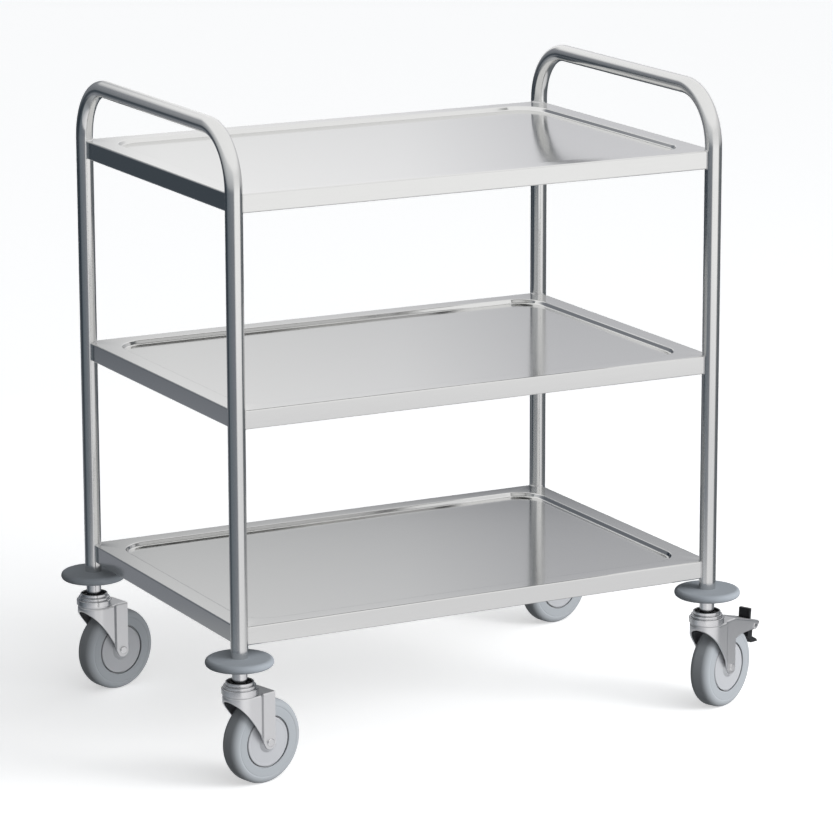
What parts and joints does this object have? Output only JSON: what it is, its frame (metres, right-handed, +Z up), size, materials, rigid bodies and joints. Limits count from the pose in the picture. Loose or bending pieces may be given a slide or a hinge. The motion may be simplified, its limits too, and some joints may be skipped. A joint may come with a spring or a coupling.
{
  "type": "food service trolley",
  "caption": "Stainless steel serving trolley with tray shelves between bent tube end frames, on swivel castors with wall bumpers and foot brakes.",
  "frame": {"origin": "middle of the whole trolley's box, on the floor; the middle of the four posts is 34.6 mm towards -X of it, because the castors trail towards +X", "axes": "+Z up, X along the shelves with the braked castors at the +X end, Y across the shelves"},
  "size_m": [0.9372, 0.6182, 0.95],
  "materials": {
    "satin_stainless": "satin stainless steel, fine polish",
    "castor_steel": "bright pressed stainless steel",
    "bearing_steel": "polished bearing balls",
    "bumper_rubber": "matt moulded blue-grey rubber",
    "tyre_rubber": "matt non-marking grey rubber",
    "wheel_plastic": "light grey moulded plastic",
    "pedal_plastic": "black moulded plastic",
    "seal_rubber": "black rubber"
  },
  "bodies": {
    "trolley_frame": {"left_end_frame": "satin_stainless", "right_end_frame": "satin_stainless", "bottom_shelf": "satin_stainless", "middle_shelf": "satin_stainless", "top_shelf": "satin_stainless", "tube_plugs": "castor_steel", "king_bolts": "castor_steel", "spacer_sleeves": "castor_steel", "dust_seals": "seal_rubber", "front_left_bumper": "bumper_rubber", "front_left_race_cup": "castor_steel", "front_left_king_pin": "castor_steel", "rear_left_bumper": "bumper_rubber", "rear_left_race_cup": "castor_steel", "rear_left_king_pin": "castor_steel", "front_right_bumper": "bumper_rubber", "front_right_race_cup": "castor_steel", "front_right_king_pin": "castor_steel", "rear_right_bumper": "bumper_rubber", "rear_right_race_cup": "castor_steel", "rear_right_king_pin": "castor_steel"},
    "front_left_swivel": {"front_left_swivel_balls": "bearing_steel", "front_left_fork": "castor_steel", "front_left_axle_bolt": "castor_steel", "front_left_axle_nut": "castor_steel", "front_left_axle_sleeve": "castor_steel", "front_left_thread_guards": "wheel_plastic"},
    "front_left_wheel": {"front_left_wheel_rim": "wheel_plastic", "front_left_tyre": "tyre_rubber"},
    "rear_left_swivel": {"rear_left_swivel_balls": "bearing_steel", "rear_left_fork": "castor_steel", "rear_left_axle_bolt": "castor_steel", "rear_left_axle_nut": "castor_steel", "rear_left_axle_sleeve": "castor_steel", "rear_left_thread_guards": "wheel_plastic"},
    "rear_left_wheel": {"rear_left_wheel_rim": "wheel_plastic", "rear_left_tyre": "tyre_rubber"},
    "front_right_swivel": {"front_right_swivel_balls": "bearing_steel", "front_right_fork": "castor_steel", "front_right_axle_bolt": "castor_steel", "front_right_axle_nut": "castor_steel", "front_right_axle_sleeve": "castor_steel", "front_right_thread_guards": "wheel_plastic", "front_right_brake_housing": "castor_steel", "front_right_brake_pin": "castor_steel"},
    "front_right_wheel": {"front_right_wheel_rim": "wheel_plastic", "front_right_tyre": "tyre_rubber"},
    "front_right_brake": {"front_right_brake_pedal": "pedal_plastic"},
    "rear_right_swivel": {"rear_right_swivel_balls": "bearing_steel", "rear_right_fork": "castor_steel", "rear_right_axle_bolt": "castor_steel", "rear_right_axle_nut": "castor_steel", "rear_right_axle_sleeve": "castor_steel", "rear_right_thread_guards": "wheel_plastic", "rear_right_brake_housing": "castor_steel", "rear_right_brake_pin": "castor_steel"},
    "rear_right_wheel": {"rear_right_wheel_rim": "wheel_plastic", "rear_right_tyre": "tyre_rubber"},
    "rear_right_brake": {"rear_right_brake_pedal": "pedal_plastic"}
  },
  "joints": [
    {"name": "front_left_castor_swivel", "type": "hinge", "parent": "trolley_frame", "child": "front_left_swivel", "pos_m": [-0.41959, -0.26014, 0.1418], "axis": [0, 0, 1], "continuous": true},
    {"name": "front_left_wheel_spin", "type": "hinge", "parent": "front_left_swivel", "child": "front_left_wheel", "pos_m": [-0.3828, -0.25062, 0.0625], "axis": [-0.2504, 0.9681, 0], "continuous": true},
    {"name": "rear_left_castor_swivel", "type": "hinge", "parent": "trolley_frame", "child": "rear_left_swivel", "pos_m": [-0.41959, 0.25986, 0.1418], "axis": [0, 0, 1], "continuous": true},
    {"name": "rear_left_wheel_spin", "type": "hinge", "parent": "rear_left_swivel", "child": "rear_left_wheel", "pos_m": [-0.38272, 0.26906, 0.0625], "axis": [-0.2419, 0.9703, 0], "continuous": true},
    {"name": "front_right_castor_swivel", "type": "hinge", "parent": "trolley_frame", "child": "front_right_swivel", "pos_m": [0.35041, -0.26014, 0.1418], "axis": [0, 0, 1], "continuous": true},
    {"name": "front_right_wheel_spin", "type": "hinge", "parent": "front_right_swivel", "child": "front_right_wheel", "pos_m": [0.38496, -0.24432, 0.0625], "axis": [-0.4163, 0.9092, 0], "continuous": true},
    {"name": "front_right_brake_pedal_rock", "type": "hinge", "parent": "front_right_swivel", "child": "front_right_brake", "pos_m": [0.44133, -0.21851, 0.1125], "axis": [-0.4163, 0.9092, 0], "range_deg": [0, 11]},
    {"name": "rear_right_castor_swivel", "type": "hinge", "parent": "trolley_frame", "child": "rear_right_swivel", "pos_m": [0.35041, 0.25986, 0.1418], "axis": [0, 0, 1], "continuous": true},
    {"name": "rear_right_wheel_spin", "type": "hinge", "parent": "rear_right_swivel", "child": "rear_right_wheel", "pos_m": [0.38711, 0.2697, 0.0625], "axis": [-0.2588, 0.9659, 0], "continuous": true},
    {"name": "rear_right_brake_pedal_rock", "type": "hinge", "parent": "rear_right_swivel", "child": "rear_right_brake", "pos_m": [0.447, 0.28575, 0.1125], "axis": [-0.2588, 0.9659, 0], "range_deg": [0, 11]}
  ]
}
